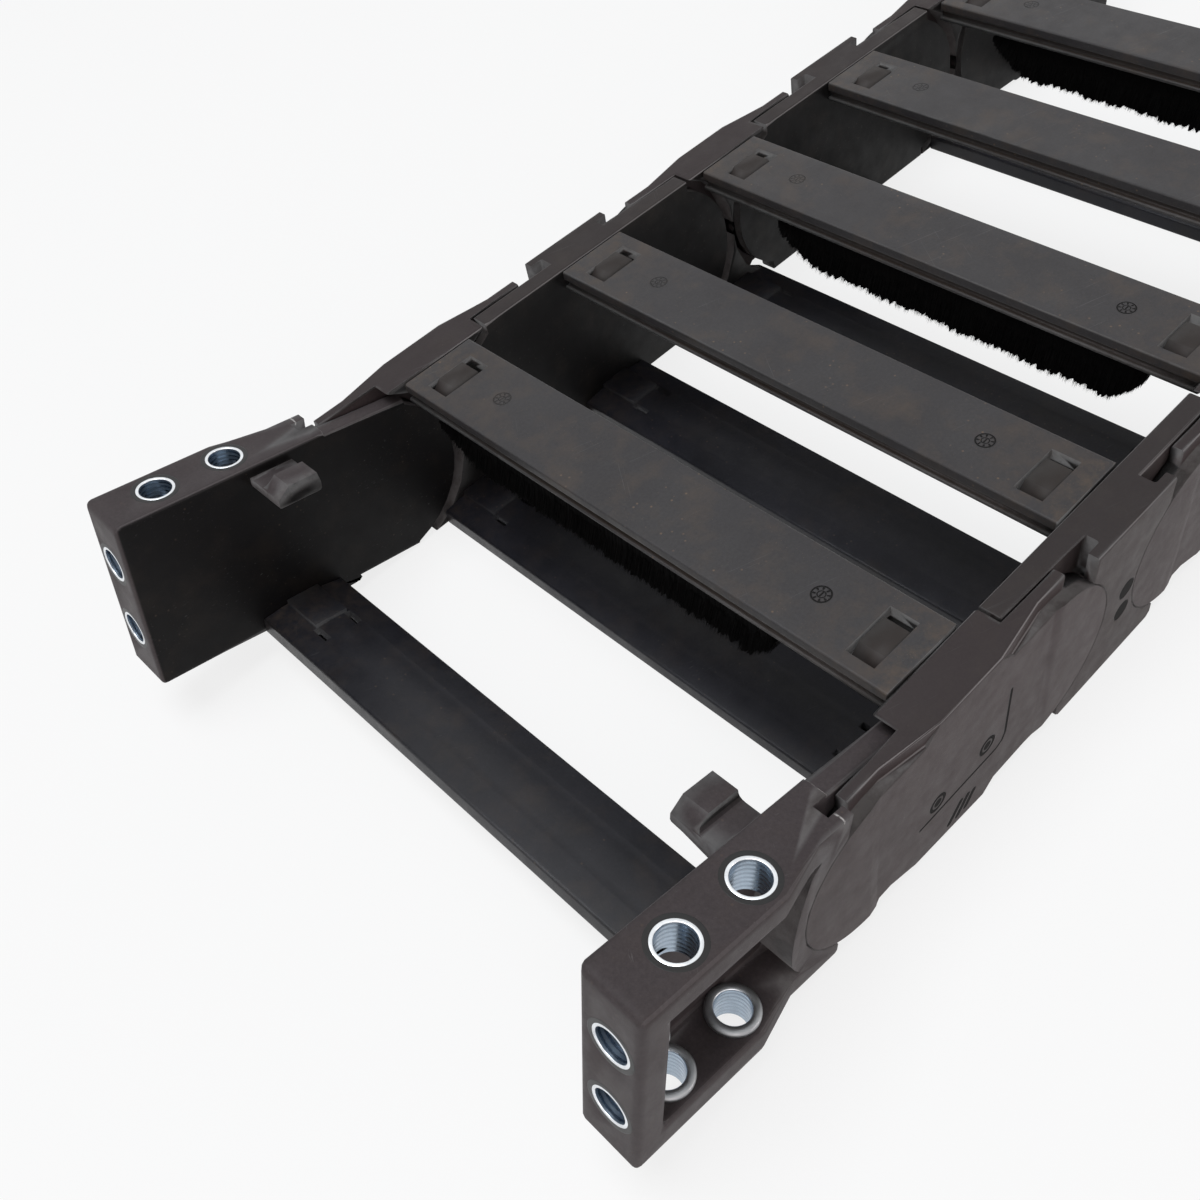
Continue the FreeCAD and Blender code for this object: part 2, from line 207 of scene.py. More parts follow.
def between(tree, value, low, high):
    """A value from 0 at low to 1 at high."""
    return add(
        tree, "ShaderNodeMapRange", {"clamp": True}, Value=value, From_Min=low, From_Max=high
    ).outputs[0]


def maths(tree, operation, first, second=0.0):
    return add(tree, "ShaderNodeMath", {"operation": operation}, i0=first, i1=second).outputs[0]


def absolute(tree, value):
    return maths(tree, "ABSOLUTE", value)


def away_from(tree, value, level):
    """How far a value is from a level, either way."""
    return absolute(tree, maths(tree, "SUBTRACT", value, level))


def product(tree, first, *others):
    for other in others:
        first = maths(tree, "MULTIPLY", first, other)
    return first


def vectors(tree, operation, **inputs):
    """The outputs of a step of vector maths: a vector comes first, a number is named Value."""
    return add(tree, "ShaderNodeVectorMath", {"operation": operation}, **inputs).outputs


def mix(tree, factor, first, second):
    made = add(tree, "ShaderNodeMix", {"data_type": "RGBA"})
    for index, value in ((0, factor), (6, first), (7, second)):
        if isinstance(value, bpy.types.NodeSocket):
            tree.links.new(value, made.inputs[index])
        elif index == 0:
            made.inputs[0].default_value = value
        else:
            made.inputs[index].default_value = (*value, 1.0)
    return made.outputs[2]


def scratches(tree, turn, low, high):
    """Thin straight scuffs along one direction."""
    coords = millimetres(tree, scale=(0.05, 2.6, 2.6), turn=(0, 0, math.radians(turn)))
    lines = between(tree, noise(tree, coords, 1.0, detail=3.0, rough=0.6), low, high)
    patches = between(tree, noise(tree, millimetres(tree, shift=(turn, 0, 0)), 0.06, detail=2.0), 0.48, 0.62)
    return product(tree, lines, patches)


def apart(tree, coords):
    """The three coordinates of a point."""
    return add(tree, "ShaderNodeSeparateXYZ", Vector=coords).outputs


def from_middle(tree, coords):
    """Distance from the middle of the chain, to either side."""
    return absolute(tree, apart(tree, coords)["Y"])


def link_offset(tree, x, number):
    """Distance along the chain from the centre of the nearest link like this one."""
    shifted = maths(tree, "ADD", x, PITCH - link_centre(number))
    wrapped = maths(tree, "FLOORED_MODULO", shifted, 2 * PITCH)
    return maths(tree, "SUBTRACT", wrapped, PITCH)


def from_point(tree, place, centre):
    """Distance of a flat place from a point."""
    return vectors(tree, "DISTANCE", i0=place, i1=(*centre, 0.0))["Value"]


def from_line(tree, place, start, end):
    """Distance of a flat place from a straight line between two points."""
    along = Vector((end[0] - start[0], end[1] - start[1], 0.0))
    offset = vectors(tree, "SUBTRACT", i0=place, i1=(*start, 0.0))[0]
    share = vectors(tree, "DOT_PRODUCT", i0=offset, i1=tuple(along / along.length_squared))["Value"]
    share = between(tree, share, 0.0, 1.0)
    foot = vectors(tree, "SCALE", i0=tuple(along), Scale=share)[0]
    return vectors(tree, "DISTANCE", i0=offset, i1=foot)["Value"]


def nearest(tree, distances):
    result = distances[0]
    for distance in distances[1:]:
        result = maths(tree, "MINIMUM", result, distance)
    return result


def largest(tree, values):
    result = values[0]
    for value in values[1:]:
        result = maths(tree, "MAXIMUM", result, value)
    return result


def flat_place(tree, u, v):
    return add(tree, "ShaderNodeCombineXYZ", X=u, Y=v).outputs[0]


def dial(tree, place, centre, radius, numbers):
    """Engraved dial: a rim, plain marks round it where numbers would be, a hub and a pointer."""
    offset = vectors(tree, "SUBTRACT", i0=place, i1=(*centre, 0.0))[0]
    away = vectors(tree, "LENGTH", i0=offset)["Value"]
    parts = apart(tree, offset)
    angle = maths(tree, "ARCTAN2", parts["Y"], parts["X"])
    turn = product(tree, angle, numbers / (2 * math.pi))
    phase = maths(tree, "FRACT", turn)
    gap = away_from(tree, phase, 0.5)
    rim = between(tree, away_from(tree, away, radius), 0.2, 0.08)
    band = away_from(tree, away, 0.74 * radius)
    figures = product(
        tree, between(tree, gap, 0.2, 0.12), between(tree, band, 0.2 * radius, 0.14 * radius)
    )
    hub = between(tree, away_from(tree, away, 0.42 * radius), 0.13, 0.05)
    u, v = centre
    pointer = from_line(tree, place, (u - 0.25 * radius, v), (u + 0.3 * radius, v))
    return largest(tree, [rim, figures, hub, between(tree, pointer, 0.2, 0.1)])


def outer_plate_marks(tree, coords):
    """Marks of links 1, 3 and 5, on their outer faces only."""
    parts = apart(tree, coords)
    place = flat_place(tree, link_offset(tree, parts["X"], 1), parts["Z"])
    runs = list(zip(OUTER_LINE, OUTER_LINE[1:]))
    line = nearest(tree, [from_line(tree, place, *run) for run in runs])
    line = between(tree, line, 0.42, 0.26)
    slots = nearest(tree, [from_line(tree, place, *run) for run in OUTER_SLOTS])
    slots = between(tree, slots, 0.75, 0.58)
    away = nearest(tree, [from_point(tree, place, centre) for centre in OUTER_DIALS])
    dimple = between(tree, away, DIMPLE_RADIUS + 0.05, DIMPLE_RADIUS - 0.15)
    ring = between(tree, away_from(tree, away, 1.2), 0.32, 0.12)
    dimple = maths(tree, "SUBTRACT", dimple, product(tree, ring, 0.6))
    marks = largest(tree, [line, slots, dimple])
    outside = between(tree, absolute(tree, parts["Y"]), *OUTER_LINK_FACE)
    return product(tree, marks, outside)


def inner_plate_marks(tree, coords):
    """Two deep dimples on the outer faces of links 2 and 4."""
    parts = apart(tree, coords)
    place = flat_place(tree, link_offset(tree, parts["X"], 2), parts["Z"])
    away = nearest(tree, [from_point(tree, place, centre) for centre in INNER_DIMPLES])
    outside = between(tree, absolute(tree, parts["Y"]), *INNER_LINK_FACE)
    return product(tree, between(tree, away, DIMPLE_RADIUS + 0.1, DIMPLE_RADIUS - 0.15), outside)


def top_bar_marks(tree, coords):
    """A date dial near each end of a top bar, fainter on the left."""
    parts = apart(tree, coords)
    shifted = maths(tree, "ADD", parts["X"], PITCH / 2 - link_centre(1))
    u = maths(tree, "SUBTRACT", maths(tree, "FLOORED_MODULO", shifted, PITCH), PITCH / 2)
    place = flat_place(tree, u, absolute(tree, parts["Y"]))
    left = between(tree, parts["Y"], 0.0, 1.0)
    strength = maths(tree, "SUBTRACT", 1.0, product(tree, left, 0.45))
    marks = dial(tree, place, (0.4, DIAL_PLACE), DIAL_RADIUS, DIAL_NUMBERS)
    above = between(tree, parts["Z"], *BAR_TOP)
    return product(tree, marks, strength, above)


def bracket_scuffs(hinge_x, lift, towards):
    """Pale scuff lines across a bracket's top, where its lug begins."""
    def lines(tree, coords):
        parts = apart(tree, coords)
        x = maths(tree, "SUBTRACT", parts["X"], hinge_x)
        z = maths(tree, "SUBTRACT", parts["Z"], HINGE_HEIGHT)
        along = product(tree, x, towards * math.cos(lift))
        along = maths(tree, "SUBTRACT", along, product(tree, z, math.sin(lift)))
        level = product(tree, x, math.sin(lift))
        level = maths(tree, "ADD", level, product(tree, z, math.cos(lift)))
        upper = between(tree, level, *BRACKET_TOP)
        across = absolute(tree, parts["Y"])
        wander = product(tree, noise(tree, coords, 0.5, detail=3.0), 0.8)
        first, second = (
            absolute(tree, maths(tree, "ADD", maths(tree, "ADD", along, place), wander))
            for place in SCUFF_PLACES
        )
        near = product(tree, between(tree, first, 0.3, 0.1), between(tree, across, 67.6, 67.0))
        far = product(tree, between(tree, second, 0.24, 0.08), between(tree, across, 66.8, 67.4))
        broken = between(tree, noise(tree, coords, 0.9, detail=5.0, rough=0.7), 0.38, 0.56)
        both = maths(tree, "MAXIMUM", near, far)
        return product(tree, both, upper, broken)
    return lines


def inner_wall(tree, coords):
    """1 on the faces that look into the cable channel."""
    across = from_middle(tree, coords)
    facing = add(tree, "ShaderNodeNewGeometry").outputs["True Normal"]
    side = absolute(tree, apart(tree, facing)["Y"])
    return product(tree, between(tree, across, *CHANNEL_WALL), between(tree, side, 0.6, 0.8))


def bar_ends(tree, coords):
    """1 near the ends of a crossbar, where dust has gathered."""
    return between(tree, from_middle(tree, coords), *DUSTY_ENDS)


def nylon(
    name, colour, deep, rough=0.5, dust=0.25, dust_colour=(0.085, 0.062, 0.045), specks=0.5, scuffs=0.3,
    grain=0.35, edge=0.6, wear=0.35, marks=None, shade=0.0, end_dust=0.0, crevice=0.0, scrapes=None,
    shine=0.4, crown=0.0, deck_edge_highlight=0.0, tongue_dust_and_shade=0.0,
):
    """Moulded nylon: uneven tone, dust and specks, fine scuffs, a mould grain and soft pale edges of wear
    and painted highlight.
    """
    material, tree = new_material(name)
    coords = millimetres(tree)
    tone = between(tree, noise(tree, coords, 0.045, detail=5.0), 0.3, 0.7)
    body = mix(tree, tone, deep, colour)
    speckle = between(tree, noise(tree, coords, 1.5, detail=4.0, rough=0.8), 0.34, 0.66)
    body = mix(tree, product(tree, speckle, 0.32), body, tuple(0.25 * c for c in deep))
    flat = add(tree, "ShaderNodeNewGeometry").outputs["True Normal"]
    facing = apart(tree, flat)
    # Painted shade: faces that look up are darkened towards the deep colour
    if crown:
        top_shade_mask = product(tree, between(tree, facing["Z"], 0.7, 0.95), crown)
        body = mix(tree, top_shade_mask, body, tuple(0.3 * c for c in deep))
    if shade:
        inside = product(tree, inner_wall(tree, coords), shade)
        body = mix(tree, inside, body, CHANNEL_SHADE)
    haze = between(tree, noise(tree, coords, 0.11, detail=7.0, rough=0.65), 0.5, 0.78)
    haze = product(tree, haze, dust)
    if end_dust:
        ends = product(tree, bar_ends(tree, coords), end_dust)
        patchy = between(tree, noise(tree, coords, 0.35, detail=6.0, rough=0.7), 0.42, 0.66)
        haze = maths(tree, "MAXIMUM", haze, product(tree, ends, patchy))
    if crevice:
        open_sky = add(
            tree, "ShaderNodeAmbientOcclusion", {"samples": 4, "only_local": True}, Distance=0.003
        ).outputs["AO"]
        deep_in = product(tree, between(tree, open_sky, 0.8, 0.35), crevice)
        haze = maths(tree, "MAXIMUM", haze, deep_in)
    body = mix(tree, haze, body, dust_colour)
    cells = add(tree, "ShaderNodeTexVoronoi", Vector=coords, Scale=0.55, Randomness=1.0)
    near = between(tree, cells.outputs["Distance"], 0.16, 0.07)
    chosen = between(tree, noise(tree, coords, 0.09, detail=3.0), 0.52, 0.6)
    spots = product(tree, near, chosen, specks)
    grains = add(tree, "ShaderNodeTexVoronoi", Vector=coords, Scale=1.7, Randomness=1.0)
    small = between(tree, grains.outputs["Distance"], 0.14, 0.05)
    spread = between(tree, noise(tree, coords, 0.16, detail=4.0), 0.5, 0.62)
    small = product(tree, small, spread, specks)
    spots = maths(tree, "MAXIMUM", spots, small)
    body = mix(tree, spots, body, tuple(1.35 * c for c in dust_colour))
    lines = maths(tree, "ADD", scratches(tree, 20, 0.66, 0.74), scratches(tree, -55, 0.68, 0.76))
    lines = product(tree, lines, scuffs)
    pale = (2.6 * sum(colour) / 3 + 0.02,) * 3
    body = mix(tree, lines, body, pale)
    rounded = add(tree, "ShaderNodeBevel", {"samples": 6}, Radius=edge * MM).outputs[0]
    close = add(tree, "ShaderNodeBevel", {"samples": 4}, Radius=min(edge, EDGE_WEAR_AND_HIGHLIGHT_WIDTH) * MM).outputs[0]
    agree = vectors(tree, "DOT_PRODUCT", i0=close, i1=flat)["Value"]
    # Pale edges: partly wear and partly a painted highlight, broken up by noise
    rim = between(tree, agree, 0.96, 0.80)
    edge_breakup = between(tree, noise(tree, coords, 0.3, detail=5.0, rough=0.65), 0.15, 0.55)
    rim = product(tree, rim, edge_breakup, wear)
    body = mix(tree, rim, body, pale)
    # Dust and painted shade: the snap tongues inside the links are darkened to a dusty brown
    if tongue_dust_and_shade:
        dark = product(tree, between(tree, from_middle(tree, coords), *TONGUE), tongue_dust_and_shade)
        body = mix(tree, dark, body, TONGUE_DUST_AND_SHADE)
    # Painted highlight: a pale line on the slopes along the outer edge of the deck, broken up by noise
    if deck_edge_highlight:
        slope = maths(tree, "MINIMUM", absolute(tree, facing["Y"]), facing["Z"])
        outer = between(tree, from_middle(tree, coords), *DECK)
        line = product(tree, between(tree, slope, 0.32, 0.5), outer, deck_edge_highlight)
        line = product(tree, line, between(tree, edge_breakup, 0.0, 0.5))
        body = mix(tree, line, body, DECK_EDGE_HIGHLIGHT_COLOUR)
    if scrapes:
        body = mix(tree, scrapes(tree, coords), body, SCUFF_COLOUR)
    fine = noise(tree, coords, 5.5, detail=3.0, rough=0.7)
    uneven = between(tree, noise(tree, coords, 0.25, detail=6.0), 0.25, 0.75)
    gloss = add(
        tree, "ShaderNodeMapRange", Value=uneven, To_Min=rough - 0.07, To_Max=rough + 0.09
    ).outputs[0]
    height = maths(tree, "ADD", product(tree, fine, grain), product(tree, lines, -0.8))
    normal = rounded
    if marks:
        # Engraved marks: a bump, and their hollows painted nearly black as painted shade
        cut = marks(tree, coords)
        body = mix(tree, product(tree, cut, 0.95), body, MARK_SHADE_COLOUR)
        gloss = maths(tree, "MAXIMUM", gloss, product(tree, cut, 0.9))
        raised = maths(tree, "SUBTRACT", 1.0, cut)
        normal = add(
            tree, "ShaderNodeBump", Strength=1.0, Distance=0.0005, Height=raised, Normal=normal
        ).outputs[0]
    bump = add(
        tree, "ShaderNodeBump", Strength=0.5, Distance=0.0001, Height=height, Normal=normal
    ).outputs[0]
    shader = add(
        tree, "ShaderNodeBsdfPrincipled",
        Base_Color=body, Roughness=gloss, Normal=bump, Specular_IOR_Level=shine,
    )
    add(tree, "ShaderNodeOutputMaterial", Surface=shader.outputs[0])
    return material


def zinc(name, colour, rough, rings=0.0):
    """Zinc plating, with turning marks along a bore where rings gives their spacing."""
    material, tree = new_material(name)
    coords = millimetres(tree)
    patches = between(tree, noise(tree, coords, 0.5, detail=5.0), 0.35, 0.7)
    tint = mix(tree, patches, colour, tuple(0.8 * c for c in colour))
    fine = noise(tree, millimetres(tree, scale=(3.0, 3.0, 9.0)), 1.0, detail=4.0)
    if rings:
        depth = add(tree, "ShaderNodeAttribute", {"attribute_name": "depth"}).outputs["Fac"]
        wave = maths(tree, "SINE", product(tree, depth, 2 * math.pi / rings))
        fine = maths(tree, "ADD", product(tree, wave, 0.5), fine)
        tint = mix(tree, between(tree, wave, -0.6, 0.9), tint, tuple(0.85 * c for c in colour))
    gloss = add(
        tree, "ShaderNodeMapRange", Value=fine, To_Min=rough - 0.06, To_Max=rough + 0.14
    ).outputs[0]
    bump = add(tree, "ShaderNodeBump", Strength=0.25, Distance=0.00004, Height=fine).outputs[0]
    shader = add(
        tree, "ShaderNodeBsdfPrincipled", Base_Color=tint, Metallic=1.0, Roughness=gloss, Normal=bump
    )
    add(tree, "ShaderNodeOutputMaterial", Surface=shader.outputs[0])
    return material


def brush_fibre(name):
    """Nearly black bristles with little shine."""
    material, tree = new_material(name)
    coords = millimetres(tree)
    tone = between(tree, noise(tree, coords, 0.8, detail=4.0), 0.3, 0.7)
    body = mix(tree, tone, (0.0008, 0.0008, 0.0009), (0.003, 0.0027, 0.0027))
    shader = add(
        tree, "ShaderNodeBsdfPrincipled", Base_Color=body, Roughness=0.85, Specular_IOR_Level=0.05
    )
    add(tree, "ShaderNodeOutputMaterial", Surface=shader.outputs[0])
    return material


def link_centre(number):
    """Place along the chain of a link's centre, in millimetres."""
    low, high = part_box(f"link_{number}_top_bar")
    return (low.x + high.x) / 2 / MM


PITCH = link_centre(2) - link_centre(1)
HINGE_HEIGHT = 21.0
NEAR_LIFT = math.radians(12.4)
TOP_BAR = nylon(
    "top_bar_nylon", (0.046, 0.044, 0.046), (0.034, 0.032, 0.034), rough=0.46, dust=0.5, specks=1.0,
    scuffs=0.4, edge=0.5, wear=0.6, marks=top_bar_marks, end_dust=0.6, crevice=0.5, shine=0.25,
)
BOTTOM_BAR = nylon(
    "bottom_bar_nylon", (0.020, 0.020, 0.025), (0.011, 0.011, 0.014), rough=0.38, dust=0.2, specks=0.3,
    edge=0.7, wear=0.3, end_dust=0.35, shine=0.3,
)
OUTER_PLATE = nylon(
    "outer_plate_nylon", (0.061, 0.047, 0.048), (0.048, 0.037, 0.038), rough=0.54, dust=0.2, specks=0.2,
    dust_colour=PLATE_DUST, edge=0.8, wear=0.6, marks=outer_plate_marks, shade=0.95, crevice=0.3,
    shine=0.2, crown=0.6, deck_edge_highlight=0.7, tongue_dust_and_shade=0.8,
)
# Inner plates are a little darker than the outer ones: painted shade
INNER_PLATE = nylon(
    "inner_plate_nylon", (0.053, 0.042, 0.042), (0.041, 0.033, 0.033), rough=0.54, dust=0.25, specks=0.3,
    dust_colour=PLATE_DUST, edge=0.8, wear=0.55, marks=inner_plate_marks, shade=0.95, crevice=0.3,
    shine=0.2, crown=0.6, deck_edge_highlight=0.5, tongue_dust_and_shade=0.8,
)
BRACKETS = {}
for end, number, lift, towards in (("near", 1, NEAR_LIFT, 1), ("far", 5, 0.0, -1)):
    BRACKETS[end] = nylon(
        f"{end}_bracket_nylon", (0.071, 0.060, 0.062), (0.056, 0.047, 0.049), rough=0.48, dust=0.1,
        specks=0.25, edge=1.3, wear=0.5, shade=0.95, shine=0.12, crown=0.12, deck_edge_highlight=0.12,
        scrapes=bracket_scuffs(link_centre(number) - towards * PITCH / 2, lift, towards),
    )
LINK_BOTTOM_BAR = nylon(
    "link_bottom_bar_nylon", (0.018, 0.018, 0.024), (0.009, 0.009, 0.012), rough=0.40, dust=0.15,
    specks=0.3, edge=0.7, wear=0.15, end_dust=0.25, shine=0.2,
)
# Nearly black nylon: painted shade in the bushing grooves and on the slot floors
PAINTED_SHADE_NYLON = nylon(
    "groove_nylon", (0.006, 0.006, 0.0065), (0.004, 0.004, 0.0045), rough=0.4, dust=0.05, specks=0.0,
    edge=0.2, wear=0.0,
)
ZINC = zinc("zinc_plating", (0.86, 0.89, 0.92), 0.26)
# The bore's zinc is painted darker and bluer than the plating outside: painted shade, with turning rings
SHADED_BORE_ZINC = zinc("turned_bore", (0.40, 0.48, 0.57), 0.26, rings=1.0)
# The collars' zinc is painted darker than the plating outside: painted shade
SHADED_COLLAR_ZINC = zinc("dull_zinc", (0.36, 0.37, 0.38), 0.42)
FIBRE = brush_fibre("brush_fibre")


# Mesh helpers

def mesh_piece(name, points, faces, material, body, smooth=True):
    """A new piece that rides on a body and takes the given material."""
    mesh = bpy.data.meshes.new(name)
    mesh.from_pydata([tuple(p) for p in points], [], faces)
    mesh.update()
    mesh.materials.append(material)
    piece = bpy.data.objects.new(name, mesh)
    bpy.context.scene.collection.objects.link(piece)
    if smooth:
        mesh.shade_smooth()
    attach(piece, body)
    return piece


def turned(points, faces, start, along, profile, segments=RING_SEGMENTS):
    """Adds a closed ring turned from a section of (radius, depth), and gives the depths of its points."""
    side = along.orthogonal().normalized()
    other = along.cross(side)
    first = len(points)
    depths = [depth for radius, depth in profile]
    count = len(profile)
    for index in range(segments):
        angle = 2 * math.pi * index / segments
        out = side * math.cos(angle) + other * math.sin(angle)
        points.extend(
            start + out * (radius * MM) + along * (depth * MM) for radius, depth in profile
        )
    for index in range(segments):
        here = first + index * count
        there = first + (index + 1) % segments * count
        for step in range(count):
            following = (step + 1) % count
            faces.append((here + step, here + following, there + following, there + step))
    return depths * segments


# Bushings: the holes come from the record's bolt patterns

def pattern_holes(mount):
    """Each hole of a bolt pattern, as its place on the outer face and the direction into the wall."""
    centre = Vector(mount["pos_m"])
    outward = Vector(mount["axis"]).normalized()
    dims = mount["dims"]
    if "pcd_mm" in dims:
        row = Y_AXIS.cross(outward) * (dims["pcd_mm"] * MM / 2)
        return [(centre + side * row, -outward) for side in (-1, 1)]
    if abs(outward.z) > 0.5:
        first, second = Vector((1, 0, 0)), Y_AXIS
    else:
        first, second = Y_AXIS, Vector((0, 0, 1))
    first = first * (dims["spacing_x_mm"] * MM / 2)
    second = second * (dims["spacing_y_mm"] * MM / 2)
    return [(centre + a * first + b * second, -outward) for a in (-1, 1) for b in (-1, 1)]


def bushing_profile(wall):
    """Section of a flanged bushing from the outer face inward: a thin mouth, a sleeve and a collar."""
    inner = wall + COLLAR_DEPTH
    return [
        (RING_BORE, RING_CHAMFER),
        (RING_BORE + 0.5 * RING_CHAMFER, -RING_PROUD + 0.02),
        (RING_BORE + RING_CHAMFER, -RING_PROUD),
        (RING_OUTER - RING_ROUND, -RING_PROUD),
        (RING_OUTER, -RING_PROUD + RING_ROUND),
        (RING_OUTER, wall),
        (COLLAR_OUTER - 0.1, wall),
        (COLLAR_OUTER, wall + 0.15),
        (COLLAR_OUTER, inner - COLLAR_ROUND),
        (COLLAR_OUTER - COLLAR_ROUND, inner),
        (RING_BORE + RING_CHAMFER, inner),
        (RING_BORE, inner - RING_CHAMFER),
    ]


def bushings(end):
    """All bushings of one end, in place of the plain ones, and nearly black rings round their mouths:
    painted shade for the grooves there.
    """
    points, faces, depths = [], [], []
    rim_points, rim_faces = [], []
    groove = [
        (RING_OUTER - GROOVE_OVERLAP, -RING_PROUD / 2),
        (GROOVE_OUTER, -RING_PROUD),
        (GROOVE_OUTER, GROOVE_DEPTH),
        (RING_OUTER - GROOVE_OVERLAP, GROOVE_DEPTH),
    ]
    for name, mount in mounts.items():
        if not name.startswith(end) or "bolts" not in name:
            continue
        wall = FRONT_WALL if "front" in name else FLANGE_WALL
        for place, inward in pattern_holes(mount):
            depths += turned(points, faces, place, inward, bushing_profile(wall))
            turned(rim_points, rim_faces, place, inward, groove)
    piece = mesh_piece(f"{end}_turned_bushings", points, faces, ZINC, f"{end}_end")
    stored = piece.data.attributes.new("depth", "FLOAT", "POINT")
    stored.data.foreach_set("value", depths)
    piece.data.materials.append(SHADED_BORE_ZINC)
    piece.data.materials.append(SHADED_COLLAR_ZINC)
    sides = len(bushing_profile(FLANGE_WALL))
    # Bore faces take the darker bore zinc and collar faces the darker collar zinc, both painted shade
    for polygon in piece.data.polygons:
        side = polygon.index % sides
        on_collar = COLLAR_SIDES[0] <= side <= COLLAR_SIDES[1]
        polygon.material_index = 1 if side == sides - 1 else 2 if on_collar else 0
    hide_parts(f"{end}_bushings")
    soften(piece)
    # Nearly black rings round the mouths: painted shade for the grooves
    mesh_piece(
        f"{end}_bushing_groove_shade", rim_points, rim_faces, PAINTED_SHADE_NYLON, f"{end}_end", smooth=False
    )


def long_edges(shortest):
    """A modifier tree that marks a piece's sharp edges longer than this for the bevel."""
    tree = bpy.data.node_groups.new(f"long_edges_{shortest}", "GeometryNodeTree")
    tree.interface.new_socket("Geometry", in_out="INPUT", socket_type="NodeSocketGeometry")
    tree.interface.new_socket("Geometry", in_out="OUTPUT", socket_type="NodeSocketGeometry")
    start = tree.nodes.new("NodeGroupInput")
    end = tree.nodes.new("NodeGroupOutput")
    ends = tree.nodes.new("GeometryNodeInputMeshEdgeVertices")
    length = add(
        tree, "ShaderNodeVectorMath", {"operation": "DISTANCE"},
        i0=ends.outputs["Position 1"], i1=ends.outputs["Position 2"],
    ).outputs["Value"]
    angle = tree.nodes.new("GeometryNodeInputMeshEdgeAngle").outputs["Unsigned Angle"]
    is_long = maths(tree, "GREATER_THAN", length, shortest * MM)
    is_sharp = maths(tree, "GREATER_THAN", angle, SHARP_ANGLE)
    weight = product(tree, is_long, is_sharp)
    store = tree.nodes.new("GeometryNodeStoreNamedAttribute")
    store.data_type = "FLOAT"
    store.domain = "EDGE"
    store.inputs["Name"].default_value = "bevel_weight_edge"
    tree.links.new(start.outputs[0], store.inputs["Geometry"])
    tree.links.new(weight, store.inputs["Value"])
    tree.links.new(store.outputs["Geometry"], end.inputs[0])
    return tree


def soften(piece, width=0.0, shortest=None):
    """Rounds the long edges of a piece, where a width is given, and keeps its flat faces flat."""
    piece.modifiers.new("weld", "WELD").merge_threshold = WELD_DISTANCE * MM
    if width:
        flatten = piece.modifiers.new("flatten", "DECIMATE")
        flatten.decimate_type = "DISSOLVE"
        flatten.angle_limit = FLAT_ANGLE
        piece.modifiers.new("edges", "NODES").node_group = EDGE_TREES[shortest]
        bevel = piece.modifiers.new("bevel", "BEVEL")
        bevel.width = width * MM
        bevel.segments = EDGE_SEGMENTS
        bevel.limit_method = "WEIGHT"
        bevel.use_clamp_overlap = False
        bevel.loop_slide = "far" not in piece.name
    piece.data.shade_smooth()
    normals = piece.modifiers.new("normals", "WEIGHTED_NORMAL")
    normals.keep_sharp = True
    normals.weight = 90


# Brush strips

def brush_length(share):
    """How far the fibres hang, along the strip from its right end (0) to its left end (1)."""
    wander = 2 * math.sin(TEETH_WANDER * share)
    teeth = TEETH_DEPTH * abs(math.sin(TEETH_RATE * share + wander)) - TEETH_RAISE
    waves = sum(height * math.sin(rate * share + phase) for height, rate, phase in WAVES) + teeth
    end = min(1.0, share / BRUSH_ENDS[0], (1 - share) / BRUSH_ENDS[1])
    return (BRUSH_HANG + BRUSH_SLOPE * (1 - share) + waves) * end ** 0.5


def brush(strip, body, seed):
    """A dense brush under a bar: a ragged core with loose fibres, all leaning to the near side."""
    rng = random.Random(seed)
    low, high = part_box(strip)
    points, faces = [], []
    half = (high.x - low.x) / 2
    width = high.y - low.y
    top_x = low.x + half
    start = low.y + BRUSH_SHIFT.get(body, 0.0) * MM
    rows = []

    def spot(across, share, hang, down):
        """A point of the core: its place across, along and down a fibre of this length."""
        lean = BRUSH_LEAN * MM * down * down
        return (top_x + half * across - lean, start + width * share, high.z - hang * down)

    for index in range(FIBRE_CORE_STEPS + 1):
        share = index / FIBRE_CORE_STEPS
        hang = max(0.4, brush_length(share) - 0.3 + rng.uniform(-0.15, 0.15)) * MM
        rows.append(len(points))
        points.extend((
            spot(-0.85, share, hang, 0.0),
            spot(-rng.uniform(0.8, 0.98), share, hang, 0.5),
            spot(-rng.uniform(0.5, 0.8), share, hang, rng.uniform(0.9, 1.0)),
            spot(rng.uniform(-0.2, 0.2), share, hang, 1.0),
            spot(rng.uniform(0.5, 0.8), share, hang, rng.uniform(0.9, 1.0)),
            spot(rng.uniform(0.8, 0.98), share, hang, 0.5),
            spot(0.85, share, hang, 0.0),
        ))
    for here, there in zip(rows, rows[1:]):
        faces.extend((here + k, here + (k + 1) % 7, there + (k + 1) % 7, there + k) for k in range(7))
    faces.append(tuple(range(rows[0] + 6, rows[0] - 1, -1)))
    faces.append(tuple(range(rows[-1], rows[-1] + 7)))
    for _ in range(FIBRES_PER_STRIP):
        share = rng.uniform(0.004, 0.996)
        across = rng.uniform(-0.95, 0.95)
        hang = brush_length(share) * rng.uniform(0.93, 1.01) * MM
        root = Vector(spot(across, share, hang, 0.45))
        tip = Vector(spot(across, share, hang, 1.0))
        tip += Vector((rng.gauss(0, 0.2), rng.gauss(0, 0.12), 0)) * MM
        tip.y = min(max(tip.y, start), start + width)
        first = len(points)
        angle = rng.uniform(0, math.pi)
        for corner in range(3):
            turn = angle + corner * 2 * math.pi / 3
            points.append(root + Vector((math.cos(turn), math.sin(turn), 0)) * FIBRE_RADIUS * MM)
        points.append(tip)
        faces.extend((first + k, first + (k + 1) % 3, first + 3) for k in range(3))
    piece = mesh_piece(f"{body}_brush", points, faces, FIBRE, body, smooth=False)
    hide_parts(strip)


# Dark bottoms of the slots beside the locking tabs: painted shade in the slots

